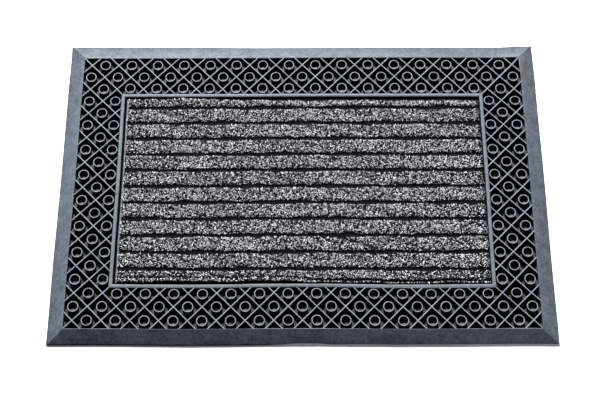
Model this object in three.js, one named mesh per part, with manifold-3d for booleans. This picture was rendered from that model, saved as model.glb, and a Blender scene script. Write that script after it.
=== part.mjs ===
// A rubber scraper door mat with a ribbed carpet insert.
//
// One rubber moulding has a ramp round its edge, a field of crossed scraper ribs with a hollow ring
// in every cell, and a raised rim round a shallow recess. In the recess lie a bed of adhesive, a
// textile backing and twelve bands of pile with narrow grooves between them.
//
// Frame: millimetres, +X along the long side, +Y towards the back, +Z up. The origin is on the
// underside, below the middle of the mat.
import * as THREE from 'three';
import { mergeVertices } from 'three/addons/utils/BufferGeometryUtils.js';
import Module from 'manifold-3d';

const wasm = await Module();
wasm.setup();

// Scraper pattern: rings on a square lattice turned by 45 degrees, with ribs between them.
const PITCH = 34; // from ring to ring along a row, and from rib to rib along X
const PITCHES_X = 16; // between the outermost ring columns
const PITCHES_Y = 10; // between the outermost ring rows
const RECESS_PITCHES_X = 14; // between the ring columns on either side of the recess
const RECESS_PITCHES_Y = 8; // between the ring rows on either side of the recess
const RIB_WIDTH = 1.5;
const RING_OUTER_RADIUS = 6.6;
const RING_INNER_RADIUS = 5.4;
const RING_SIDES = 6;
const RIM_RING_SHIFT = 1; // the rings beside the rim stand this much further from it

// Rubber moulding
const HEIGHT = 9; // of the ribs, the rings, the rim and the ramp's inner edge
const FLOOR_THICKNESS = 3.4; // under the cells
const RING_FLOOR_THICKNESS = 4.4; // under the hollow of each ring
const RECESS_FLOOR_THICKNESS = 2; // under the insert
const LIP_THICKNESS = 1.5; // at the ramp's outer edge
const RAMP_WIDTH = 19.8;
const FIELD_MARGIN = 10; // from the outermost ring centres to the ramp's inner edge
const RIM_WIDTH = 4.5;
const RIM_CLEARANCE = 1; // between the rim and the rings beside it

// Carpet insert
const BACKING_X = 450;
const BACKING_Y = 244;
const INSERT_OFFSET_X = 0.7; // the insert lies a little nearer the rim's right side
const INSERT_OFFSET_Y = -1; // and a little nearer its front
const LAYER_GAP = 0.1; // between two layers
const ADHESIVE_THICKNESS = 0.4;
const ADHESIVE_INSET = 4; // from the backing's edge
const BACKING_THICKNESS = 1.8;
const UPTURN_WIDTH = 2.4; // of the backing's left edge, which is turned up against the rim
const UPTURN_HEIGHT = 7.4; // of its top above the underside of the mat
const BAND_COUNT = 12;
const BAND_PITCH = 21.5;
const GROOVE_WIDTH = 5;
const GROOVE_OFFSET_Y = 0.6; // of the middle groove from the mat's centre line
const SELVEDGE = 3; // from the backing's left edge to the bands, for the upturn
const PILE_EDGE_INSET = 0.6; // bare backing along its other three sides
const PILE_PROUD = 0.3; // of the pile above the rim
const PILE_SHOULDER = 2.5; // radius of a band's two long upper edges

const FIELD_X = PITCHES_X * PITCH + 2 * FIELD_MARGIN;
const FIELD_Y = PITCHES_Y * PITCH + 2 * FIELD_MARGIN;
const OVERALL_X = FIELD_X + 2 * RAMP_WIDTH;
const OVERALL_Y = FIELD_Y + 2 * RAMP_WIDTH;
const RIM_TO_RING_CENTRES = RING_OUTER_RADIUS + RIM_CLEARANCE - RIM_RING_SHIFT;
const RIM_OUTER_X = RECESS_PITCHES_X * PITCH - 2 * RIM_TO_RING_CENTRES;
const RIM_OUTER_Y = RECESS_PITCHES_Y * PITCH - 2 * RIM_TO_RING_CENTRES;
const RECESS_X = RIM_OUTER_X - 2 * RIM_WIDTH;
const RECESS_Y = RIM_OUTER_Y - 2 * RIM_WIDTH;
const ADHESIVE_BOTTOM = RECESS_FLOOR_THICKNESS + LAYER_GAP;
const BACKING_BOTTOM = ADHESIVE_BOTTOM + ADHESIVE_THICKNESS + LAYER_GAP;
const PILE_BOTTOM = BACKING_BOTTOM + BACKING_THICKNESS + LAYER_GAP;
const PILE_HEIGHT = HEIGHT + PILE_PROUD - PILE_BOTTOM;
const OVERCUT = 1; // how far a cutting or joining solid passes the face it works on
const FLATNESS = 0.001; // faces closer to one plane than this are merged
const SAME_POINT = 0.0001; // points closer together than this are merged

const rubber = new THREE.MeshStandardMaterial({ color: 0x363a40, roughness: 0.6, metalness: 0 });
const adhesive = new THREE.MeshStandardMaterial({ color: 0x8a7a58, roughness: 0.5, metalness: 0 });
const backing = new THREE.MeshStandardMaterial({ color: 0x1d1e20, roughness: 0.95, metalness: 0 });
const pile = new THREE.MeshStandardMaterial({ color: 0x77787a, roughness: 1, metalness: 0 });

// A closed three.js geometry as a solid that can be joined and cut.
function toSolid(geometry) {
  const bare = geometry.clone();
  bare.deleteAttribute('normal');
  bare.deleteAttribute('uv');
  const merged = mergeVertices(bare, SAME_POINT);
  return new wasm.Manifold(new wasm.Mesh({
    numProp: 3,
    vertProperties: new Float32Array(merged.attributes.position.array),
    triVerts: new Uint32Array(merged.index.array),
  }));
}

// The joined or cut solid as a three.js geometry.
function toGeometry(solid) {
  const { vertProperties, triVerts } = solid.getMesh();
  const geometry = new THREE.BufferGeometry();
  geometry.setAttribute('position', new THREE.BufferAttribute(new Float32Array(vertProperties), 3));
  geometry.setIndex(new THREE.BufferAttribute(new Uint32Array(triVerts), 1));
  geometry.computeVertexNormals();
  return geometry;
}

// A box centred on X and Y, between two heights.
function block(sizeX, sizeY, bottom, top) {
  const geometry = new THREE.BoxGeometry(sizeX, sizeY, top - bottom);
  return geometry.translate(0, 0, (bottom + top) / 2);
}

// A block whose top face is smaller than its bottom face by the same inset all round.
function taperedBlock(sizeX, sizeY, bottom, top, inset) {
  const geometry = block(sizeX, sizeY, bottom, top);
  const position = geometry.attributes.position;
  for (let i = 0; i < position.count; i += 1) {
    if (position.getZ(i) > (bottom + top) / 2) {
      position.setX(i, position.getX(i) - Math.sign(position.getX(i)) * inset);
      position.setY(i, position.getY(i) - Math.sign(position.getY(i)) * inset);
    }
  }
  return geometry;
}

// An upright prism with the same area in plan as the round post that it stands for.
function post(roundRadius, bottom, top, x, y) {
  const sector = 2 * Math.PI / RING_SIDES;
  const radius = roundRadius * Math.sqrt(sector / Math.sin(sector));
  const geometry = new THREE.CylinderGeometry(radius, radius, top - bottom, RING_SIDES);
  geometry.rotateX(Math.PI / 2);
  geometry.rotateZ(sector / 4);
  return geometry.translate(x, y, (bottom + top) / 2);
}

// The ring centres: every point where a rib along each diagonal would be half a pitch away, all
// round the field, but none over the recess. Those in the rows and columns beside the rim are
// moved a little away from it.
function ringCentres() {
  const besideX = RECESS_PITCHES_X * PITCH / 2;
  const besideY = RECESS_PITCHES_Y * PITCH / 2;
  const centres = [];
  for (let column = 0; column <= 2 * PITCHES_X; column += 1) {
    for (let row = 0; row <= 2 * PITCHES_Y; row += 1) {
      const x = (column - PITCHES_X) * PITCH / 2;
      const y = (row - PITCHES_Y) * PITCH / 2;
      const betweenRibs = (column + row) % 2 === 1;
      const withinX = Math.abs(x) < besideX;
      const withinY = Math.abs(y) < besideY;
      const shiftX = withinY && Math.abs(x) === besideX ? Math.sign(x) * RIM_RING_SHIFT : 0;
      const shiftY = withinX && Math.abs(y) === besideY ? Math.sign(y) * RIM_RING_SHIFT : 0;
      if (betweenRibs && !(withinX && withinY)) centres.push([x + shiftX, y + shiftY]);
    }
  }
  return centres;
}

// The crossed ribs, running on past the field in both directions.
function crossedRibs() {
  const reach = (FIELD_X + FIELD_Y) / 2;
  const last = Math.floor(reach / PITCH);
  const ribs = [];
  for (let line = -last; line <= last; line += 1) {
    for (const turn of [-Math.PI / 4, Math.PI / 4]) {
      const rib = block(2 * reach, RIB_WIDTH, FLOOR_THICKNESS - OVERCUT, HEIGHT);
      rib.rotateZ(turn);
      ribs.push(toSolid(rib.translate(line * PITCH, 0, 0)));
    }
  }
  return wasm.Manifold.union(ribs);
}

// The field between the ramp and the rim, as a frame-shaped space.
function scraperField() {
  const outside = toSolid(block(FIELD_X + OVERCUT, FIELD_Y + OVERCUT, 0, HEIGHT + OVERCUT));
  const middle = block(RIM_OUTER_X - OVERCUT, RIM_OUTER_Y - OVERCUT, -OVERCUT, HEIGHT + 2 * OVERCUT);
  return outside.subtract(toSolid(middle));
}

// The rings: cups whose bottoms stand a little higher than the floor of the cells around them.
function rings() {
  const bottom = FLOOR_THICKNESS - OVERCUT;
  const solids = ringCentres().map(([x, y]) => {
    const outside = toSolid(post(RING_OUTER_RADIUS, bottom, HEIGHT, x, y));
    const hole = toSolid(post(RING_INNER_RADIUS, RING_FLOOR_THICKNESS, HEIGHT + OVERCUT, x, y));
    return outside.subtract(hole);
  });
  return wasm.Manifold.union(solids);
}

// The rim, as a whole block: the recess is cut out of it and out of the floor below it together.
function rim() {
  return toSolid(block(RIM_OUTER_X, RIM_OUTER_Y, FLOOR_THICKNESS - OVERCUT, HEIGHT));
}

function rubberBase() {
  const plate = toSolid(block(OVERALL_X, OVERALL_Y, 0, LIP_THICKNESS));
  const ramp = toSolid(taperedBlock(OVERALL_X, OVERALL_Y, LIP_THICKNESS, HEIGHT, RAMP_WIDTH));
  const pocket = toSolid(block(FIELD_X, FIELD_Y, FLOOR_THICKNESS, HEIGHT + OVERCUT));
  const tray = plate.add(ramp).subtract(pocket);
  const pattern = crossedRibs().intersect(scraperField()).add(rings()).add(rim());
  const recess = toSolid(block(RECESS_X, RECESS_Y, RECESS_FLOOR_THICKNESS, HEIGHT + OVERCUT));
  return toGeometry(tray.add(pattern).subtract(recess).asOriginal().simplify(FLATNESS));
}

function adhesiveBed() {
  const bed = block(
    BACKING_X - 2 * ADHESIVE_INSET,
    BACKING_Y - 2 * ADHESIVE_INSET,
    ADHESIVE_BOTTOM,
    ADHESIVE_BOTTOM + ADHESIVE_THICKNESS,
  );
  return bed.translate(INSERT_OFFSET_X, INSERT_OFFSET_Y, 0);
}

// The backing sheet, with its left edge turned up between the rim and the ends of the bands.
function insertBacking() {
  const sheet = block(BACKING_X, BACKING_Y, BACKING_BOTTOM, BACKING_BOTTOM + BACKING_THICKNESS);
  const upturn = block(UPTURN_WIDTH, BACKING_Y, BACKING_BOTTOM, UPTURN_HEIGHT);
  upturn.translate((UPTURN_WIDTH - BACKING_X) / 2, 0, 0);
  const joined = toGeometry(toSolid(sheet).add(toSolid(upturn)));
  return joined.translate(INSERT_OFFSET_X, INSERT_OFFSET_Y, 0);
}

// The front and back edges of each band, from the front of the mat to the back. The first and the
// last band are cut short by the insert's own edges.
function bandEdges() {
  const edges = [];
  const end = BACKING_Y / 2 - PILE_EDGE_INSET;
  for (let band = 0; band < BAND_COUNT; band += 1) {
    const centre = GROOVE_OFFSET_Y + (band - (BAND_COUNT - 1) / 2) * BAND_PITCH;
    const half = (BAND_PITCH - GROOVE_WIDTH) / 2;
    const front = Math.max(centre - half, INSERT_OFFSET_Y - end);
    const back = Math.min(centre + half, INSERT_OFFSET_Y + end);
    edges.push([front, back]);
  }
  return edges;
}

// One band of pile: flat below, with rounded long edges above.
function pileBand(front, back) {
  const half = (back - front) / 2;
  const outline = new THREE.Shape();
  outline.moveTo(-half, 0);
  outline.lineTo(half, 0);
  outline.lineTo(half, PILE_HEIGHT - PILE_SHOULDER);
  outline.absarc(half - PILE_SHOULDER, PILE_HEIGHT - PILE_SHOULDER, PILE_SHOULDER, 0, Math.PI / 2);
  outline.absarc(
    PILE_SHOULDER - half,
    PILE_HEIGHT - PILE_SHOULDER,
    PILE_SHOULDER,
    Math.PI / 2,
    Math.PI,
  );
  outline.closePath();
  const length = BACKING_X - SELVEDGE - PILE_EDGE_INSET;
  const middle = INSERT_OFFSET_X + (SELVEDGE - PILE_EDGE_INSET) / 2;
  const geometry = new THREE.ExtrudeGeometry(outline, {
    depth: length,
    bevelEnabled: false,
    curveSegments: 4,
  });
  geometry.translate(0, 0, -length / 2);
  geometry.rotateX(Math.PI / 2);
  geometry.rotateZ(Math.PI / 2);
  return geometry.translate(middle, (front + back) / 2, PILE_BOTTOM);
}

const mat = new THREE.Group();

function addPiece(name, geometry, material) {
  const mesh = new THREE.Mesh(geometry, material);
  mesh.name = name;
  mat.add(mesh);
}

addPiece('rubber_base', rubberBase(), rubber);
addPiece('adhesive_bed', adhesiveBed(), adhesive);
addPiece('insert_backing', insertBacking(), backing);
bandEdges().forEach(([front, back], band) => {
  addPiece(`pile_band_${String(band + 1).padStart(2, '0')}`, pileBand(front, back), pile);
});

export default mat;
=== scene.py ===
"""A rubber scraper door mat with a ribbed carpet insert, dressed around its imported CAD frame.

Metres, +X along the long side, +Y towards the back, +Z up, the underside at zero.
"""
import math

import bmesh
import bpy
import numpy as np
from mathutils import Matrix, Vector


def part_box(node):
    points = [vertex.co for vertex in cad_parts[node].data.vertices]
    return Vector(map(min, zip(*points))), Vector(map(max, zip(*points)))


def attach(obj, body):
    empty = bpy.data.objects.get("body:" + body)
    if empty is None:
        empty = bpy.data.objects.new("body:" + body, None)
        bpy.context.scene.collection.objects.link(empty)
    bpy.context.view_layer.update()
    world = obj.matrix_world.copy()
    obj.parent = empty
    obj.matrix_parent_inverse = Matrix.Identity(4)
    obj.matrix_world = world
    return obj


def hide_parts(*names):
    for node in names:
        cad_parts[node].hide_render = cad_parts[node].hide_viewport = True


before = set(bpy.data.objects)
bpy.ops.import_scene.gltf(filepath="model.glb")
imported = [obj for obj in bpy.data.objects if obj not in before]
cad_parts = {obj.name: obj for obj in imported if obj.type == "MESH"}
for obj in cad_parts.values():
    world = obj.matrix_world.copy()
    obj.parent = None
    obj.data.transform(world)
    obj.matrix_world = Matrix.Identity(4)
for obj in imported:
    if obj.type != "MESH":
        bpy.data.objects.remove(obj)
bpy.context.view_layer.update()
scene = bpy.context.scene
MM = 0.001

# The rubber moulding, from the frame's outline and a few driving dimensions.
_, base_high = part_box("rubber_base")
HALF_X, HALF_Y, TOP = base_high.x, base_high.y, base_high.z
PITCH = 34 * MM
PITCHES_X, PITCHES_Y = 16, 10
RECESS_PITCHES_X, RECESS_PITCHES_Y = 14, 8
RAMP_WIDTH = 19.8 * MM
LIP = 1.5 * MM
LIP_TOP = 1.3 * MM  # of the flat outer lip, below the step where the ramp starts
MITRE_DIP = 0.3 * MM  # of the crease where two ramps meet
FLOOR = 3.4 * MM  # height of the cells' floor
RING_FLOOR = 4.4 * MM  # height of the floor inside a ring
RECESS_FLOOR = 2 * MM  # height of the floor under the insert
FIELD_X, FIELD_Y = HALF_X - RAMP_WIDTH, HALF_Y - RAMP_WIDTH
RIB_WIDTH = 1.5 * MM
RING_OUTER, RING_INNER = 6.6 * MM, 5.4 * MM
RIM_RING_SHIFT = 1 * MM  # the rings beside the rim stand this much further from it
RIM_CLEARANCE = 1 * MM
RIM_TO_RING_CENTRES = RING_OUTER + RIM_CLEARANCE - RIM_RING_SHIFT
RIM_OUTER_X = RECESS_PITCHES_X * PITCH / 2 - RIM_TO_RING_CENTRES
RIM_OUTER_Y = RECESS_PITCHES_Y * PITCH / 2 - RIM_TO_RING_CENTRES
RIM_WIDTH = 4.5 * MM
CORNER_STEP = 0.003  # share of a half side between a corner and the point next to it
SAME_PLACE = 1e-6  # metres: points closer together than this are merged
SAME_PLACE_FINE = 1e-7  # the same, for the finer meshes of the backing and the bond
ROOT = 0.5 * MM  # how far ribs, rings and rim reach down into the floor before they are joined

# The carpet insert, from its CAD solids.
backing_low, backing_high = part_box("insert_backing")
bed_low, bed_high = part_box("adhesive_bed")
BAND_NODES = sorted(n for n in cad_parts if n.startswith("pile_band_"))
SELVEDGE_WIDTH = 2.3 * MM
SELVEDGE_INSET = 0.3 * MM
SELVEDGE_TOP = 7.4 * MM
LEFT_FRINGE = 0.9 * MM  # how far the pile leans over the upturned edge
BACK_FRINGE = 1.4 * MM  # how far the pile lies over the groove behind it
CORE_SINK = 1.0 * MM  # how far a band's core stays below its top
CORE_SIDE_SINK = 1.5 * MM  # and inside its two sides
TUFT_SPACING = 1.2 * MM
TUFT_POINTS = 13  # mesh points in one tuft: three rings of four and a tip
CORE_TONE = 0.08  # the lightest that the core under the tufts gets; kept near black as painted shade deep in the pile
BLACK_SHARE = 0.34  # of the clumps of yarn
CLUMP_TONES = 997  # a prime, as are the two steps that deal these out to the clumps
CREASE_Y = -116.8 * MM  # of the crease along the first band, at its left end
CREASE_SLANT = 3.1 * MM  # how much nearer the front the crease lies on the right


# ---------------------------------------------------------------- how the mat lies

def bump(distance, reach):
    """1 at distance 0, falling smoothly to 0 at reach."""
    return rise(1 - np.abs(distance) / reach)


def rise(share):
    """0 up to share 0, climbing smoothly to 1 at share 1 and after it."""
    t = np.clip(share, 0, 1)
    return t * t * (3 - 2 * t)


def settle(co):
    """Moves points of a flat mat to where the slightly wavy real one has them, in place."""
    x, y = co[:, 0].copy(), co[:, 1].copy()
    share = np.clip(co[:, 2] / TOP, 0, 1)
    back = np.clip(0.5 + y / (2 * HALF_Y), 0, 1)
    on_back_ramp = np.clip((y - FIELD_Y) / RAMP_WIDTH, 0, 1)
    on_front_ramp = np.clip((-y - FIELD_Y) / RAMP_WIDTH, 0, 1)
    right = rise((x + 0.15) / 0.1)
    # Sideways: a slow wave, and both long ends stretched a little.
    co[:, 0] += 0.25 * MM * np.sin(2 * math.pi * y / 0.21 + 1.2)
    co[:, 0] += 0.4 * MM * np.sign(x) * rise((np.abs(x) - 0.25) / 0.03)
    # Lengthways: waves along the back and the front, the middle drawn forwards, the edges drawn in.
    co[:, 1] += back * MM * (0.3 + 0.5 * np.sin(2 * math.pi * (x + 0.07) / 0.7))
    co[:, 1] += (1 - back) * MM * (0.35 + 0.45 * np.cos(2 * math.pi * x / 0.26))
    co[:, 1] -= 0.85 * MM * (1 - (y / HALF_Y) ** 2)
    co[:, 1] -= on_back_ramp * (0.2 + 0.9 * right) * MM
    co[:, 1] += on_front_ramp * 1.5 * MM
    skew = 0.8 * rise((x - 0.02) / 0.08) + 0.4 * rise((-x - 0.05) / 0.05)
    co[:, 1] -= skew * MM * bump(y + RIM_OUTER_Y, 0.014)
    co[:, 1] -= (0.5 + 0.35 * right) * MM * bump(y - RIM_OUTER_Y, 0.014)
    # Upwards: the back edge curls a little, and its two corners more.
    co[:, 2] += (2.0 - 0.8 * right) * MM * on_back_ramp ** 2
    corner = bump(np.hypot(x - HALF_X, y - HALF_Y), 0.06)
    co[:, 0] -= 2.2 * MM * corner
    co[:, 2] += 4.0 * MM * corner
    co[:, 2] += 0.8 * MM * bump(np.hypot(x + HALF_X, y - HALF_Y), 0.09)
    co[:, 2] += 0.12 * MM * share * np.sin(2 * math.pi * x / 0.061) * np.sin(2 * math.pi * y / 0.047)
    return co


# ---------------------------------------------------------------- mesh helpers

def mesh_object(name, verts, faces):
    """A new object in the scene from points and faces."""
    mesh = bpy.data.meshes.new(name)
    mesh.from_pydata([tuple(v) for v in verts], [], faces)
    mesh.validate()
    obj = bpy.data.objects.new(name, mesh)
    scene.collection.objects.link(obj)
    return obj


def loft(loops, close_ends):
    """Faces between loops of equal length. close_ends joins the last loop to the first."""
    count = len(loops[0])
    verts = [p for loop in loops for p in loop]
    faces = []
    pairs = len(loops) if close_ends else len(loops) - 1
    for a in range(pairs):
        b = (a + 1) % len(loops)
        for i in range(count):
            j = (i + 1) % count
            faces.append((a * count + i, a * count + j, b * count + j, b * count + i))
    return verts, faces


def stops(steps):
    """Positions along a side from -1 to 1: evenly spaced, with one more close to each end."""
    inner = [2 * i / steps - 1 for i in range(1, steps)]
    return [-1, -1 + CORNER_STEP, *inner, 1 - CORNER_STEP, 1]


def rectangle_loop(half_x, half_y, z, steps_x, steps_y):
    """A rectangle's points, anticlockwise from its front left corner."""
    corners = [(-half_x, -half_y), (half_x, -half_y), (half_x, half_y), (-half_x, half_y)]
    points = []
    for side, steps in enumerate((steps_x, steps_y, steps_x, steps_y)):
        (x0, y0), (x1, y1) = corners[side], corners[(side + 1) % 4]
        for stop in stops(steps)[:-1]:
            t = (stop + 1) / 2
            points.append((x0 + (x1 - x0) * t, y0 + (y1 - y0) * t, z))
    return points


def grid_cap(half_x, half_y, z, steps_x, steps_y, facing_up):
    """A flat grid whose edge points match those of rectangle_loop."""
    across, along = stops(steps_x), stops(steps_y)
    verts = [(half_x * u, half_y * v, z) for v in along for u in across]
    row = len(across)
    faces = []
    for j in range(len(along) - 1):
        for i in range(row - 1):
            a = j * row + i
            quad = (a, a + 1, a + row + 1, a + row)
            faces.append(quad if facing_up else quad[::-1])
    return verts, faces


def add_part(parts, verts, faces):
    """Appends a part's points and faces to the (verts, faces) pair being gathered."""
    start = len(parts[0])
    parts[0].extend(verts)
    parts[1].extend(tuple(i + start for i in face) for face in faces)


def weld(obj, distance=SAME_PLACE):
    """Merges points in one place and turns every face outwards."""
    bm = bmesh.new()
    bm.from_mesh(obj.data)
    bmesh.ops.remove_doubles(bm, verts=bm.verts, dist=distance)
    bmesh.ops.recalc_face_normals(bm, faces=bm.faces)
    bm.to_mesh(obj.data)
    bm.free()
    return obj


def boolean(target, other, operation):
    """Joins other to target, or cuts target by it, and removes other."""
    modifier = target.modifiers.new("cut", "BOOLEAN")
    modifier.operation = operation
    modifier.solver = "MANIFOLD"
    modifier.object = other
    graph = bpy.context.evaluated_depsgraph_get()
    result = bpy.data.meshes.new_from_object(target.evaluated_get(graph), depsgraph=graph)
    target.modifiers.clear()
    old = target.data
    target.data = result
    bpy.data.meshes.remove(old)
    bpy.data.objects.remove(other)
    return target


def finish_mesh(obj, sharp_degrees):
    """Triangulates, settles the points into the mat's real lie, and shades it smooth but for edges."""
    bm = bmesh.new()
    bm.from_mesh(obj.data)
    bmesh.ops.triangulate(bm, faces=bm.faces)
    bm.to_mesh(obj.data)
    bm.free()
    co = np.empty(len(obj.data.vertices) * 3)
    obj.data.vertices.foreach_get("co", co)
    obj.data.vertices.foreach_set("co", settle(co.reshape(-1, 3)).ravel())
    obj.data.shade_smooth()
    obj.data.set_sharp_from_angle(angle=math.radians(sharp_degrees))
    obj.data.update()
    return obj


# ---------------------------------------------------------------- camera, floor and light

def add_camera():
    """In front of the mat and well above it, looking down at its middle."""
    place = Vector((0.0, -0.4725, 1.1839))
    aim = Vector((-0.0029, -0.0179, 0.009))
    roll = math.radians(-0.407)
    data = bpy.data.cameras.new("camera")
    data.lens = 61.38
    data.sensor_width = 36
    data.clip_end = 20
    camera = bpy.data.objects.new("camera", data)
    scene.collection.objects.link(camera)
    look = (aim - place).to_track_quat("-Z", "Y").to_matrix().to_4x4()
    camera.matrix_world = Matrix.Translation(place) @ look @ Matrix.Rotation(roll, 4, "Z")
    scene.camera = camera


def add_area_light(name, place, size_x, size_y, watts, colour):
    """A rectangular light that points at the middle of the mat."""
    data = bpy.data.lights.new(name, "AREA")
    data.shape = "RECTANGLE"
    data.size = size_x
    data.size_y = size_y
    data.energy = watts
    data.color = colour
    lamp = bpy.data.objects.new(name, data)
    lamp.location = place
    lamp.rotation_euler = (-Vector(place)).to_track_quat("-Z", "Y").to_euler()
    scene.collection.objects.link(lamp)


def add_studio():
    """White paper, a strong soft light from behind, and weak fills for the other three ramps."""
    verts, faces = grid_cap(4.0, 4.0, -0.2 * MM, 4, 4, True)
    floor = mesh_object("studio_floor", verts, faces)
    material = bpy.data.materials.new("studio_paper")
    material.use_nodes = True
    shader = material.node_tree.nodes["Principled BSDF"]
    shader.inputs["Base Color"].default_value = (0.86, 0.86, 0.86, 1)
    shader.inputs["Roughness"].default_value = 0.9
    floor.data.materials.append(material)
    add_area_light("key", (-0.5, 4.27, 2.64), 0.7, 0.45, 1010, (0.96, 0.98, 1.0))
    add_area_light("left_fill", (-1.85, 0.85, 0.32), 0.8, 0.2, 57, (0.8, 0.92, 1.0))
    add_area_light("right_fill", (1.85, 0.8, 0.32), 0.8, 0.2, 30, (0.8, 0.92, 1.0))
    add_area_light("front_fill", (1.6, -1.65, 0.35), 1.4, 0.2, 56, (0.9, 0.9, 1.0))
    world = bpy.data.worlds.new("studio")
    world.use_nodes = True
    background = world.node_tree.nodes["Background"]
    background.inputs["Color"].default_value = (0.8, 0.9, 1.0, 1)
    background.inputs["Strength"].default_value = 0.015
    scene.world = world
    scene.view_settings.view_transform = "Standard"


# ---------------------------------------------------------------- materials

class Nodes:
    """A material's node tree, with short calls for the nodes that these materials use."""

    def __init__(self, name):
        self.material = bpy.data.materials.new(name)
        self.material.use_nodes = True
        self.tree = self.material.node_tree
        self.shader = self.tree.nodes["Principled BSDF"]
        self.place = self.new("ShaderNodeTexCoord").outputs["Object"]

    def new(self, kind):
        return self.tree.nodes.new(kind)

    def link(self, source, target):
        self.tree.links.new(source, target)

    def stretched(self, scale):
        """The object's coordinates, scaled along each axis."""
        node = self.new("ShaderNodeMapping")
        node.inputs["Scale"].default_value = scale
        self.link(self.place, node.inputs["Vector"])
        return node.outputs["Vector"]

    def noise(self, per_metre, detail=3.0, rough=0.5, vector=None):
        """Smooth noise of about that many cells to a metre."""
        node = self.new("ShaderNodeTexNoise")
        node.inputs["Scale"].default_value = per_metre
        node.inputs["Detail"].default_value = detail
        node.inputs["Roughness"].default_value = rough
        self.link(vector or self.place, node.inputs["Vector"])
        return node.outputs["Fac"]

    def spread(self, value, low, high, to_low, to_high):
        """The value, taken from low..high to to_low..to_high and held at those ends."""
        node = self.new("ShaderNodeMapRange")
        node.inputs["From Min"].default_value = low
        node.inputs["From Max"].default_value = high
        node.inputs["To Min"].default_value = to_low
        node.inputs["To Max"].default_value = to_high
        self.link(value, node.inputs["Value"])
        return node.outputs["Result"]

    def maths(self, operation, a, b):
        """One sum. a and b are numbers or other nodes' values; an operation on a alone ignores b."""
        node = self.new("ShaderNodeMath")
        node.operation = operation
        for socket, value in zip(node.inputs, (a, b)):
            if isinstance(value, (int, float)):
                socket.default_value = value
            else:
                self.link(value, socket)
        return node.outputs["Value"]

    def ramp(self, value, colours):
        """A colour for a value, from (value, colour) pairs."""
        node = self.new("ShaderNodeValToRGB")
        elements = node.color_ramp.elements
        while len(elements) < len(colours):
            elements.new(0.5)
        for element, (position, colour) in zip(elements, colours):
            element.position = position
            element.color = (*colour, 1)
        self.link(value, node.inputs["Fac"])
        return node.outputs["Color"]

    def mix(self, amount, a, b):
        """a where amount is 0, b where it is 1. Each is a colour or another node's colour."""
        node = self.new("ShaderNodeMix")
        node.data_type = "RGBA"
        self.link(amount, node.inputs["Factor"])
        for socket, value in ((node.inputs[6], a), (node.inputs[7], b)):
            if isinstance(value, tuple):
                socket.default_value = (*value, 1)
            else:
                self.link(value, socket)
        return node.outputs[2]

    def attribute(self, name):
        """A number stored on the mesh's points."""
        node = self.new("ShaderNodeAttribute")
        node.attribute_name = name
        return node.outputs["Fac"]

    def axes(self):
        """The object's x, y and z, in metres."""
        node = self.new("ShaderNodeSeparateXYZ")
        self.link(self.place, node.inputs["Vector"])
        return node.outputs["X"], node.outputs["Y"], node.outputs["Z"]

    def bumps(self, height, depth):
        """Fine relief that is shaded but not modelled."""
        node = self.new("ShaderNodeBump")
        node.inputs["Distance"].default_value = depth
        self.link(height, node.inputs["Height"])
        self.link(node.outputs["Normal"], self.shader.inputs["Normal"])

    def colour(self, socket):
        self.link(socket, self.shader.inputs["Base Color"])

    def roughness(self, socket):
        self.link(socket, self.shader.inputs["Roughness"])


def times(n, *factors):
    """The product of several node values."""
    product = factors[0]
    for factor in factors[1:]:
        product = n.maths("MULTIPLY", product, factor)
    return product


def inside(n, half_x, half_y, low, high):
    """1 inside a rectangle of those half sides, 0 outside it. low and high are shares of a half side."""
    x, y, _ = n.axes()
    across = n.maths("DIVIDE", n.maths("ABSOLUTE", x, 0), half_x)
    along = n.maths("DIVIDE", n.maths("ABSOLUTE", y, 0), half_y)
    return n.spread(n.maths("MAXIMUM", across, along), low, high, 1.0, 0.0)


def field_masks(n, field, on_rim):
    """Three masks: the cells' floors, the floors inside the rings, and the walls and the recess, which get
    painted shade.
    """
    z = n.axes()[2]
    above_floor = n.spread(z, FLOOR + 0.15 * MM, FLOOR + 0.35 * MM, 0.0, 1.0)
    cell_floor = times(n, field, n.maths("SUBTRACT", 1.0, above_floor))
    above = n.spread(z, RING_FLOOR - 0.05 * MM, RING_FLOOR - 0.02 * MM, 0.0, 1.0)
    below = n.spread(z, RING_FLOOR + 0.12 * MM, RING_FLOOR + 0.25 * MM, 1.0, 0.0)
    cup_floor = times(n, field, above, below)
    low = n.maths("SUBTRACT", n.maths("MAXIMUM", above_floor, on_rim), cup_floor)
    walls = times(n, field, low, n.spread(z, TOP - 0.9 * MM, TOP - 0.5 * MM, 1.0, 0.0))
    return cell_floor, cup_floor, walls


def front_edge(n):
    """Two masks: where shade is painted (the lip at the front left, the step all round), and the scuffed
    lip.
    """
    x, y, z = n.axes()
    front = n.spread(y, 10 * MM - HALF_Y, 20 * MM - HALF_Y, 1.0, 0.0)
    left = n.spread(x, -0.05, -0.02, 1.0, 0.0)
    lip = times(n, left, front, n.spread(z, LIP_TOP + 0.05 * MM, LIP_TOP + 0.25 * MM, 1.0, 0.0))
    above = n.spread(z, LIP_TOP + 0.04 * MM, LIP_TOP + 0.1 * MM, 0.0, 1.0)
    below = n.spread(z, LIP_TOP + 0.35 * MM, LIP_TOP + 0.5 * MM, 1.0, 0.0)
    flat = n.spread(z, LIP_TOP + 0.01 * MM, LIP_TOP + 0.04 * MM, 1.0, 0.0)
    scuffed = times(n, flat, front, n.spread(x, -0.06, -0.03, 0.0, 1.0))
    return n.maths("MAXIMUM", lip, times(n, above, below)), scuffed


def brownish_dark_patch(n):
    """A soft-edged brownish darker patch on the right ramp, near the back corner."""
    x, y, _ = n.axes()
    off_x = n.maths("DIVIDE", n.maths("ABSOLUTE", n.maths("SUBTRACT", x, FIELD_X + 3 * MM), 0), 8 * MM)
    off_y = n.maths("DIVIDE", n.maths("ABSOLUTE", n.maths("SUBTRACT", y, FIELD_Y - 16 * MM), 0), 20 * MM)
    return n.spread(n.maths("MAXIMUM", off_x, off_y), 0.3, 1.0, 1.0, 0.0)


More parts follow.
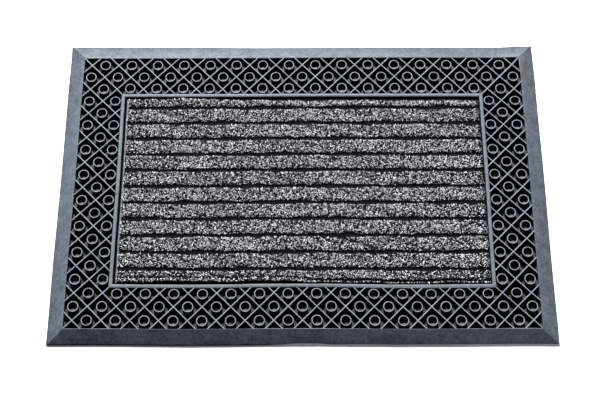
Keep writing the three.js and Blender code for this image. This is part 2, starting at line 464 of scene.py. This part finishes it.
def ramp_gloss(n):
    """Glossier at the ramp's inner edge and in the field than at the ramp's outer edge."""
    x, y, _ = n.axes()
    past_x = n.maths("SUBTRACT", n.maths("ABSOLUTE", x, 0), FIELD_X)
    past_y = n.maths("SUBTRACT", n.maths("ABSOLUTE", y, 0), FIELD_Y)
    return n.spread(n.maths("MAXIMUM", past_x, past_y), 0, RAMP_WIDTH, 0.41, 0.22)


def rubber_material():
    """Moulded black rubber: cloudy and finely grained, paler on its worn tops, less glossy in its cells,
    and near black as painted shade on the cells' walls, in the recess and on the front edge's step and left
    lip.
    """
    n = Nodes("moulded_rubber")
    field = inside(n, FIELD_X, FIELD_Y, 0.999, 1.001)
    on_rim = inside(n, RIM_OUTER_X, RIM_OUTER_Y, 1.002, 1.004)
    cell_floor, cup_floor, walls = field_masks(n, field, on_rim)
    shaded_edge, scuffed_edge = front_edge(n)
    dull_and_shaded = n.maths("MAXIMUM", walls, shaded_edge)
    scuffs = n.spread(n.noise(420, detail=4, rough=0.6), 0.3, 0.7, 0.6, 1.0)
    by_place = times(n, n.spread(field, 0.0, 1.0, 0.12, 1.0), n.spread(on_rim, 0.0, 1.0, 1.0, 0.4))
    worn = times(n, scuffs, by_place, n.spread(n.axes()[2], TOP - 0.4 * MM, TOP - 0.1 * MM, 0.0, 1.0))

    grain = n.spread(n.noise(300, detail=3), 0.3, 0.7, -0.16, 0.16)
    bloom = n.maths("ADD", n.noise(70, detail=6, rough=0.7), grain)
    colour = n.ramp(bloom, [(0.25, (0.012, 0.014, 0.018)), (0.75, (0.055, 0.062, 0.076))])
    colour = n.mix(cell_floor, colour, (0.03, 0.03, 0.032))
    colour = n.mix(cup_floor, colour, (0.1, 0.103, 0.11))
    colour = n.mix(scuffed_edge, colour, (0.11, 0.115, 0.125))
    colour = n.mix(times(n, brownish_dark_patch(n), scuffs), colour, (0.045, 0.034, 0.028))
    colour = n.mix(worn, colour, (0.205, 0.222, 0.25))
    # Painted shade: the walls, the recess and the shaded front edge are coloured near black.
    n.colour(n.mix(dull_and_shaded, colour, (0.004, 0.004, 0.0045)))

    sheen = n.spread(n.noise(110, detail=5, rough=0.6), 0.3, 0.7, 0.56, 0.7)
    n.roughness(n.maths("MAXIMUM", sheen, n.maths("MULTIPLY", dull_and_shaded, 0.95)))
    matt = times(n, n.spread(dull_and_shaded, 0, 1, 1.0, 0.3), n.spread(cell_floor, 0, 1, 1.0, 0.6))
    n.link(times(n, ramp_gloss(n), matt), n.shader.inputs["Specular IOR Level"])
    n.shader.inputs["Specular Tint"].default_value = (0.86, 0.94, 1.0, 1)
    n.bumps(n.maths("ADD", n.noise(1300, detail=2), n.noise(240, detail=4, rough=0.6)), 0.17 * MM)
    return n.material


def pile_material():
    """Salt-and-pepper fibres: each tuft has its own tone, with finer strands inside it."""
    n = Nodes("mottled_pile")
    strands = n.spread(n.noise(1900, detail=2), 0.3, 0.7, -0.14, 0.14)
    tone = n.maths("ADD", n.attribute("tone"), strands)
    yarns = [
        (0.0, (0.002, 0.002, 0.0022)),
        (0.32, (0.034, 0.034, 0.035)),
        (0.52, (0.18, 0.18, 0.182)),
        (0.76, (0.45, 0.45, 0.454)),
        (1.0, (0.82, 0.82, 0.812)),
    ]
    n.colour(n.ramp(tone, yarns))
    n.shader.inputs["Roughness"].default_value = 0.85
    n.shader.inputs["Specular IOR Level"].default_value = 0.04
    n.bumps(n.noise(2600, detail=2), 0.12 * MM)
    return n.material


def backing_material():
    """A dark needled backing, made near black as painted shade in the grooves, with a paler latex-sealed
    strip along its left edge.
    """
    n = Nodes("needled_backing")
    fleece = n.noise(900, detail=4, rough=0.65)
    # The dark tones are the backing's own dark fibres, made near black as painted shade in the grooves.
    dark = n.ramp(fleece, [(0.35, (0.0015, 0.0015, 0.0018)), (0.7, (0.006, 0.006, 0.0065))])
    pale = n.ramp(fleece, [(0.3, (0.085, 0.085, 0.09)), (0.7, (0.22, 0.22, 0.228))])
    inner = backing_low.x + SELVEDGE_INSET + SELVEDGE_WIDTH
    edge = n.spread(n.axes()[0], inner - 0.4 * MM, inner, 1, 0)
    n.colour(n.mix(edge, dark, pale))
    n.shader.inputs["Roughness"].default_value = 0.9
    n.shader.inputs["Specular IOR Level"].default_value = 0.05
    n.bumps(fleece, 0.15 * MM)
    return n.material


def adhesive_material():
    """Cured contact adhesive, amber, with streaks along the spreader's path."""
    n = Nodes("cured_adhesive")
    streaks = n.noise(1, detail=3, vector=n.stretched((40, 900, 40)))
    n.colour(n.ramp(streaks, [(0.3, (0.3, 0.22, 0.1)), (0.7, (0.52, 0.42, 0.24))]))
    n.roughness(n.spread(streaks, 0.3, 0.7, 0.35, 0.6))
    n.bumps(streaks, 0.1 * MM)
    return n.material


# ---------------------------------------------------------------- the rubber moulding

def lip_width(x):
    """The flat lip in front of the ramp: widest just right of the middle, nearly gone to the left."""
    return (1.0 + 0.8 * float(rise((x - 0.01) / 0.06)) + 2.4 * float(bump(x - 0.004, 0.036))) * MM


def tray():
    """The floor and the ramp round it, with a flat lip, a moulded step behind it and a rounded shoulder."""
    steps_x, steps_y = 96, 60
    land = 0.7 * MM  # level strip along the ramp's inner edge
    step = 1.2 * MM  # from the outer edge to the moulded step
    profile = [  # (distance in from the outer edge, height)
        (3 * MM, 0.0),
        (0.3 * MM, 0.0),
        (0.0, 0.3 * MM),
        (0.05 * MM, 0.8 * MM),
        (0.35 * MM, LIP_TOP - 0.1 * MM),
        (0.7 * MM, LIP_TOP),
        (step, LIP_TOP),
        (step + 0.15 * MM, LIP_TOP + 0.45 * MM),
        (step + 0.75 * MM, LIP_TOP + 0.75 * MM),
        (RAMP_WIDTH * 0.35, LIP + (TOP - LIP) * 0.35),
        (RAMP_WIDTH * 0.65, LIP + (TOP - LIP) * 0.66),
        (RAMP_WIDTH - land - 1.2 * MM, TOP - 0.65 * MM),
        (RAMP_WIDTH - land, TOP - 0.15 * MM),
        (RAMP_WIDTH - 0.45 * MM, TOP),
        (RAMP_WIDTH - 0.08 * MM, TOP - 0.35 * MM),
        (RAMP_WIDTH, TOP - 0.8 * MM),
        (RAMP_WIDTH, FLOOR + 0.4 * MM),
        (RAMP_WIDTH + 0.4 * MM, FLOOR),
    ]
    loops = []
    for distance, z in profile:
        half_x, half_y = HALF_X - distance, HALF_Y - distance
        loop = rectangle_loop(half_x, half_y, z, steps_x, steps_y)
        if z > 0 and step <= distance < RAMP_WIDTH / 4:
            loop = [(x, y + (lip_width(x) - step) * (y < SAME_PLACE - half_y), z) for x, y, z in loop]
        if LIP_TOP < z < TOP and distance < RAMP_WIDTH:
            loop = [
                (x, y, z - MITRE_DIP * (abs(x) > half_x - SAME_PLACE) * (abs(y) > half_y - 5 * MM))
                for x, y, z in loop
            ]
        loops.append(loop)
    parts = ([], [])
    add_part(parts, *loft(loops, False))
    inner, under = profile[-1], profile[0]
    add_part(parts, *grid_cap(HALF_X - inner[0], HALF_Y - inner[0], inner[1], steps_x, steps_y, True))
    add_part(parts, *grid_cap(HALF_X - under[0], HALF_Y - under[0], under[1], steps_x, steps_y, False))
    return weld(mesh_object("moulded_base", *parts))


def rib_section():
    """Across a rib: (sideways, height), with draft and a rounded top."""
    half = RIB_WIDTH / 2
    return [
        (-half - 0.15 * MM, FLOOR - ROOT),
        (half + 0.15 * MM, FLOOR - ROOT),
        (half, TOP - 0.7 * MM),
        (half - 0.3 * MM, TOP - 0.13 * MM),
        (0.0, TOP),
        (0.3 * MM - half, TOP - 0.13 * MM),
        (-half, TOP - 0.7 * MM),
    ]


def parallel_ribs(turn):
    """All ribs along one diagonal, cut to the field between the ramp and the rim."""
    reach = FIELD_X + FIELD_Y
    along = Vector((math.cos(turn), math.sin(turn), 0))
    across = Vector((-along.y, along.x, 0))
    parts = ([], [])
    last = int(reach / PITCH)
    for line in range(-last, last + 1):
        middle = Vector((line * PITCH, 0, 0))
        ends = [
            [middle + along * s * reach + across * side + Vector((0, 0, z)) for side, z in rib_section()]
            for s in (-1, 1)
        ]
        verts, faces = loft(ends, False)
        count = len(ends[0])
        faces += [tuple(range(count))[::-1], tuple(range(count, 2 * count))]
        add_part(parts, verts, faces)
    ribs = weld(mesh_object("ribs", *parts))
    return boolean(ribs, field_space(), "INTERSECT")


def field_space():
    """The space the ribs fill: inside the ramp's shoulder, outside the middle of the rim."""
    out_x, out_y = FIELD_X + 0.5 * MM, FIELD_Y + 0.5 * MM
    in_x, in_y = RIM_OUTER_X - RIM_WIDTH / 2, RIM_OUTER_Y - RIM_WIDTH / 2
    low, high = 0.5 * MM, TOP + 3 * MM
    loops = [
        rectangle_loop(out_x, out_y, low, 1, 1),
        rectangle_loop(out_x, out_y, high, 1, 1),
        rectangle_loop(in_x, in_y, high, 1, 1),
        rectangle_loop(in_x, in_y, low, 1, 1),
    ]
    return weld(mesh_object("field_space", *loft(loops, True)))


def ring_centres():
    """Every point half a pitch from the ribs on both diagonals, all round the field."""
    centres = []
    for column in range(-PITCHES_X, PITCHES_X + 1):
        for row in range(-PITCHES_Y, PITCHES_Y + 1):
            within_x, within_y = abs(column) < RECESS_PITCHES_X, abs(row) < RECESS_PITCHES_Y
            if (column + row) % 2 == 0 or (within_x and within_y):
                continue
            x, y = column * PITCH / 2, row * PITCH / 2
            if within_y and abs(column) == RECESS_PITCHES_X:
                x += math.copysign(RIM_RING_SHIFT, column)
            if within_x and abs(row) == RECESS_PITCHES_Y:
                y += math.copysign(RIM_RING_SHIFT, row)
            centres.append((x, y))
    return centres


def rings():
    """The hollow rings, each a cup with draft, a rounded top and a raised floor."""
    sides = 28
    profile = [  # (radius, height), up the outside and down the inside
        (RING_OUTER + 0.1 * MM, FLOOR - ROOT),
        (RING_OUTER, TOP - 0.6 * MM),
        (RING_OUTER - 0.28 * MM, TOP),
        (RING_INNER + 0.24 * MM, TOP),
        (RING_INNER, TOP - 0.5 * MM),
        (RING_INNER - 0.08 * MM, RING_FLOOR + 0.2 * MM),
        (RING_INNER - 0.3 * MM, RING_FLOOR),
    ]
    parts = ([], [])
    for x, y in ring_centres():
        loops = [
            [
                (x + r * math.cos(2 * math.pi * i / sides), y + r * math.sin(2 * math.pi * i / sides), z)
                for i in range(sides)
            ]
            for r, z in profile
        ]
        verts, faces = loft(loops, False)
        count = len(verts)
        faces += [tuple(range(sides))[::-1], tuple(range(count - sides, count))]
        add_part(parts, verts, faces)
    return weld(mesh_object("rings", *parts))


def rim():
    """The raised rim round the recess, with a low crowned top."""
    steps_x, steps_y = 48, 32
    profile = [  # (distance in from the rim's outer edge, height)
        (-0.1 * MM, FLOOR - ROOT),
        (0.0, TOP - 0.7 * MM),
        (0.35 * MM, TOP - 0.2 * MM),
        (RIM_WIDTH * 0.27, TOP + 0.02 * MM),
        (RIM_WIDTH * 0.5, TOP + 0.16 * MM),
        (RIM_WIDTH * 0.73, TOP + 0.02 * MM),
        (RIM_WIDTH - 0.35 * MM, TOP - 0.2 * MM),
        (RIM_WIDTH, TOP - 0.7 * MM),
        (RIM_WIDTH + 0.1 * MM, RECESS_FLOOR - ROOT),
        (-0.15 * MM, RECESS_FLOOR - ROOT),
    ]
    loops = [
        rectangle_loop(RIM_OUTER_X - d, RIM_OUTER_Y - d, z, steps_x, steps_y) for d, z in profile
    ]
    return weld(mesh_object("rim", *loft(loops, True)))


def recess_space():
    """The space sunk into the floor inside the rim, where the insert lies."""
    half_x, half_y = RIM_OUTER_X - RIM_WIDTH * 0.6, RIM_OUTER_Y - RIM_WIDTH * 0.6
    steps_x, steps_y = 60, 40
    parts = ([], [])
    loops = [rectangle_loop(half_x, half_y, z, steps_x, steps_y) for z in (RECESS_FLOOR, TOP + 3 * MM)]
    add_part(parts, *loft(loops, False))
    add_part(parts, *grid_cap(half_x, half_y, RECESS_FLOOR, steps_x, steps_y, False))
    add_part(parts, *grid_cap(half_x, half_y, TOP + 3 * MM, steps_x, steps_y, True))
    return weld(mesh_object("recess_space", *parts))


def build_base():
    """The whole moulding as one closed mesh, with its recess cut and its pattern joined on."""
    base = tray()
    boolean(base, recess_space(), "DIFFERENCE")
    boolean(base, parallel_ribs(math.pi / 4), "UNION")
    boolean(base, parallel_ribs(-math.pi / 4), "UNION")
    boolean(base, rings(), "UNION")
    boolean(base, rim(), "UNION")
    finish_mesh(base, 20)
    base.data.materials.clear()
    base.data.materials.append(rubber_material())
    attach(base, "root")
    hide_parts("rubber_base")


# ---------------------------------------------------------------- the insert's backing and bond

def build_backing():
    """The backing sheet: a flat needled cloth whose left edge turns up as a pale strip."""
    rng = np.random.default_rng(11)
    low, high = backing_low, backing_high
    rows = 100
    left = low.x + SELVEDGE_INSET
    section = [  # (x, height) across the mat, along the top from left to right, then back below
        (left, SELVEDGE_TOP - 0.5 * MM),
        (left + 0.5 * MM, SELVEDGE_TOP),
        (left + SELVEDGE_WIDTH - 0.5 * MM, SELVEDGE_TOP),
        (left + SELVEDGE_WIDTH, SELVEDGE_TOP - 0.5 * MM),
        (left + SELVEDGE_WIDTH + 0.2 * MM, high.z + 0.4 * MM),
    ]
    first, steps = left + SELVEDGE_WIDTH + 0.8 * MM, 90
    section += [(first + (high.x - 0.4 * MM - first) * i / steps, high.z) for i in range(steps + 1)]
    section += [(high.x, high.z - 0.4 * MM), (high.x, low.z + 0.3 * MM)]
    section += [(high.x + (left - high.x) * i / steps, low.z) for i in range(steps + 1)]
    count = len(section)
    loops = []
    for row in range(rows + 1):
        y = low.y + (high.y - low.y) * row / rows
        fray = rng.normal(0, 0.12 * MM, (count, 2))
        loops.append([(x + fray[i][0], y, z + abs(fray[i][1])) for i, (x, z) in enumerate(section)])
    verts, faces = loft(loops, False)
    faces += [tuple(range(count))[::-1], tuple(range(rows * count, (rows + 1) * count))]
    backing = weld(mesh_object("woven_backing", verts, faces), SAME_PLACE_FINE)
    finish_mesh(backing, 60)
    backing.data.materials.append(backing_material())
    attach(backing, "root")
    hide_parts("insert_backing")
    return backing


def build_adhesive():
    """The bond: a thin ridged bed with an uneven edge, as a notched spreader leaves it."""
    steps_x, steps_y = 60, 120
    low, high = bed_low, bed_high
    verts, faces = grid_cap(1.0, 1.0, 0.0, steps_x, steps_y, True)
    top, bottom = [], []
    for u, v, _ in verts:
        edge_x = (high.x - low.x) / 2 - 1.5 * MM * (1 + math.sin(37 * v)) * 0.5
        edge_y = (high.y - low.y) / 2 - 1.5 * MM * (1 + math.sin(53 * u)) * 0.5
        x = (high.x + low.x) / 2 + u * edge_x
        y = (high.y + low.y) / 2 + v * edge_y
        ridge = 0.12 * MM * (1 + math.sin(2 * math.pi * y / (6 * MM)))
        top.append((x, y, high.z - ridge))
        bottom.append((x, y, low.z))
    count = len(verts)
    faces += [tuple(i + count for i in face)[::-1] for face in faces]
    row = steps_x + 1
    edge = list(range(row)) + [row * j + steps_x for j in range(1, steps_y + 1)]
    edge += [row * steps_y + i for i in range(steps_x - 1, -1, -1)]
    edge += [row * j for j in range(steps_y - 1, 0, -1)]
    for a, b in zip(edge, edge[1:] + edge[:1]):
        faces.append((a, a + count, b + count, b))
    bed = weld(mesh_object("glue_bed", top + bottom, faces), SAME_PLACE_FINE)
    finish_mesh(bed, 40)
    bed.data.materials.append(adhesive_material())
    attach(bed, "root")
    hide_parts("adhesive_bed")


# ---------------------------------------------------------------- the pile

def band_core(rng, low, high):
    """A lumpy closed bar that fills a band under its tufts: its points and faces."""
    steps = int((high.x - low.x) / (3 * MM))
    half = (high.y - low.y) / 2 - CORE_SIDE_SINK
    top = high.z - CORE_SINK
    section = [(-half, low.z), (-half * 0.4, low.z), (half * 0.4, low.z), (half, low.z)]
    section += [(half, low.z + (top - low.z) * 0.55), (half * 0.85, top - 0.4 * MM)]
    section += [(half * side, top) for side in (0.5, 0.0, -0.5)]
    section += [(-half * 0.85, top - 0.4 * MM), (-half, low.z + (top - low.z) * 0.55)]
    middle = (low.y + high.y) / 2
    lengthways = np.linspace(low.x + CORE_SINK, high.x - CORE_SINK, steps + 1)
    loops = []
    for x in lengthways:
        fray = rng.normal(0, 0.3 * MM, (len(section), 2))
        loops.append([
            (x, middle + y + fray[i][0], max(low.z, z + fray[i][1] * (z > low.z)))
            for i, (y, z) in enumerate(section)
        ])
    verts, faces = loft(loops, False)
    count = len(section)
    faces += [tuple(range(count))[::-1], tuple(range(steps * count, (steps + 1) * count))]
    return verts, faces


def tuft_roots(rng, low, high, back_reach):
    """Where the tufts stand on a band, and the direction in which each one grows."""
    width, length = high.y - low.y, high.x - low.x
    height = high.z - low.z
    across = width + 2 * height * 0.7
    count = int(length * across / TUFT_SPACING**2)
    along = low.x - LEFT_FRINGE + rng.random(count) * (length + LEFT_FRINGE)
    around = (rng.random(count) - 0.5) * across
    flat = np.clip(around, -width / 2, width / 2)
    drop = np.abs(around) - np.abs(flat)
    side = np.sign(around)
    shoulder = np.clip((np.abs(around) - width / 2 + 2.5 * MM) / (2.5 * MM), 0, 1)
    middle = (low.y + high.y) / 2
    roots = np.stack([
        along,
        middle + flat * (1 - 2 * CORE_SIDE_SINK / width) + back_reach * rise(2 * flat / width),
        high.z - CORE_SINK - drop - 0.5 * MM * shoulder,
    ], 1)
    outward = np.stack([np.zeros(count), side * shoulder * 0.5, np.ones(count)], 1)
    return roots, outward / np.linalg.norm(outward, axis=1)[:, None]


def crease_front_band(roots, outward):
    """Parts the foremost tufts of the first band from the rest, and pushes them forwards on the right."""
    right = rise((roots[:, 0] + 0.03) / 0.08)
    beyond = CREASE_Y - CREASE_SLANT * right - roots[:, 1]
    loose = beyond > 0
    roots[:, 1] += np.where(loose, 0.2 * beyond * (1 - right) - 1.2 * MM * right, 0)
    # Tufts sunk along the crease come out darker, as painted shade, from their depth in build_band.
    roots[:, 2] += np.where(loose, (1.3 + 1.1 * right) * MM, 0) - 3.0 * MM * bump(beyond, 2.4 * MM)
    kept = np.abs(beyond) > (1.2 - 0.6 * right) * MM
    return roots[kept], outward[kept]


def skew_back_band(roots):
    """Draws the last band's back edge in, but for its left end, which reaches further back."""
    back = roots[:, 1].max()
    near = rise((roots[:, 1] - back + 8 * MM) / (8 * MM))
    roots[:, 1] += near * MM * (2.1 - 3.4 * rise((roots[:, 0] + 0.13) / 0.1))


def grow_tufts(rng, roots, outward):
    """A closed four-sided tapering tuft on each root, bent over to one side: points, quads, triangles."""
    count = len(roots)
    reach = rng.uniform(1.2, 2.0, count)[:, None] * MM
    heading = rng.uniform(0, 2 * math.pi, count)
    lean = np.stack([np.cos(heading), np.sin(heading), np.zeros(count)], 1)
    lean -= outward * (lean * outward).sum(1)[:, None]
    lean *= rng.uniform(0.4, 1.2, count)[:, None]
    aside = np.cross(outward, lean)
    aside /= np.maximum(np.linalg.norm(aside, axis=1), 1e-9)[:, None]
    other = np.cross(aside, outward)
    thickness = rng.uniform(0.32, 0.56, count)[:, None] * MM
    rings_of = []
    for share, girth in ((-0.5, 0.9), (0.35, 1.0), (0.8, 0.72)):
        centre = roots + outward * reach * share + lean * reach * max(share, 0) ** 2
        for corner in range(4):
            angle = corner * math.pi / 2
            offset = aside * math.cos(angle) + other * math.sin(angle)
            rings_of.append(centre + offset * thickness * girth)
    rings_of.append(roots + outward * reach + lean * reach * 1.1)
    verts = np.stack(rings_of, 1).reshape(-1, 3)
    quads = []
    for ring in range(2):
        for i in range(4):
            j = (i + 1) % 4
            quads.append((ring * 4 + i, ring * 4 + j, ring * 4 + 4 + j, ring * 4 + 4 + i))
    quads.append((3, 2, 1, 0))
    tips = [(8 + i, 8 + (i + 1) % 4, TUFT_POINTS - 1) for i in range(4)]
    starts = np.arange(count)[:, None, None] * TUFT_POINTS
    quads = (np.array(quads)[None] + starts).reshape(-1, 4)
    tips = (np.array(tips)[None] + starts).reshape(-1, 3)
    return verts, quads, tips


def build_band(node, material, seed):
    """One band of pile: a lumpy core under several thousand bent tufts, each with its own tone."""
    rng = np.random.default_rng(seed)
    low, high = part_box(node)
    core_verts, core_faces = band_core(rng, low, high)
    back_reach = 0 if node == BAND_NODES[-1] else BACK_FRINGE
    roots, outward = tuft_roots(rng, low, high, back_reach)
    if node == BAND_NODES[0]:
        roots, outward = crease_front_band(roots, outward)
    if node == BAND_NODES[-1]:
        skew_back_band(roots)
    tuft_verts, quads, tips = grow_tufts(rng, roots, outward)
    offset = len(core_verts)
    verts = np.concatenate([np.array(core_verts, float), tuft_verts])
    sway = 0.7 * MM * np.sin(2 * math.pi * verts[:, 0] / 0.11 + seed * 2.3)
    sway += 0.4 * MM * np.sin(2 * math.pi * verts[:, 0] / 0.047 + seed * 1.1)
    verts[:, 1] += sway * np.clip((verts[:, 2] - low.z) / (high.z - low.z), 0, 1)
    faces = core_faces + (quads + offset).tolist() + (tips + offset).tolist()
    band = mesh_object(f"tufted_band_{node[-2:]}", verts.tolist(), faces)
    band.data.vertices.foreach_set("co", settle(verts).ravel())
    # The core is coloured near black, as painted shade under the tufts.
    core_tones = rng.uniform(0.0, CORE_TONE, offset)
    # Painted shade: tufts low in the grooves are darkened. Tufts near the right edge are darkened too.
    pile_tones = tuft_tones(rng, roots) * (1 - 0.75 * groove_shade_and_edge_dimming(high, roots, outward))
    tones = np.concatenate([core_tones, np.repeat(pile_tones, TUFT_POINTS)])
    attribute = band.data.attributes.new("tone", "FLOAT", "POINT")
    attribute.data.foreach_set("value", tones.astype(np.float32))
    band.data.shade_smooth()
    band.data.update()
    band.data.materials.append(material)
    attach(band, "root")
    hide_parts(node)
    return band


def groove_shade_and_edge_dimming(high, roots, outward):
    """How much each tuft is darkened, from 0 to 1: painted shade low in a groove, and darker towards the
    insert's right edge.
    """
    unshaded_depth = np.where(outward[:, 1] > 0, 2.8, 1.2) * MM  # depth below the top that stays unshaded, on the back and front sides
    in_groove = rise((high.z - unshaded_depth - roots[:, 2]) / (2.5 * MM))
    return np.maximum(in_groove, 0.5 * rise((roots[:, 0] - high.x + 4 * MM) / (3 * MM)))


def tuft_tones(rng, roots):
    """Black, grey and near-white yarn: tufts in one small ragged clump share a tone."""
    count = len(roots)
    place = roots[:, :2] + rng.normal(0, 0.2 * MM, (count, 2))
    place[:, 0] += place[:, 1] * rng.choice((-0.5, 0.5))
    column = np.floor(place[:, 0] / (1.0 * MM)).astype(int)
    line = np.floor(place[:, 1] / (0.85 * MM)).astype(int)
    clumps = rng.random((CLUMP_TONES,))[(column * 131 + line * 17) % CLUMP_TONES]
    tone = np.where(clumps < BLACK_SHARE, 0.03 + clumps * 0.7, 0.38 + (clumps - BLACK_SHARE) * 0.95)
    return np.clip(tone + rng.normal(0, 0.09, count), 0, 1)


# ---------------------------------------------------------------- all together

add_camera()
add_studio()
build_base()
backing = build_backing()
build_adhesive()
pile = pile_material()
bands = [build_band(node, pile, 100 + i) for i, node in enumerate(BAND_NODES)]
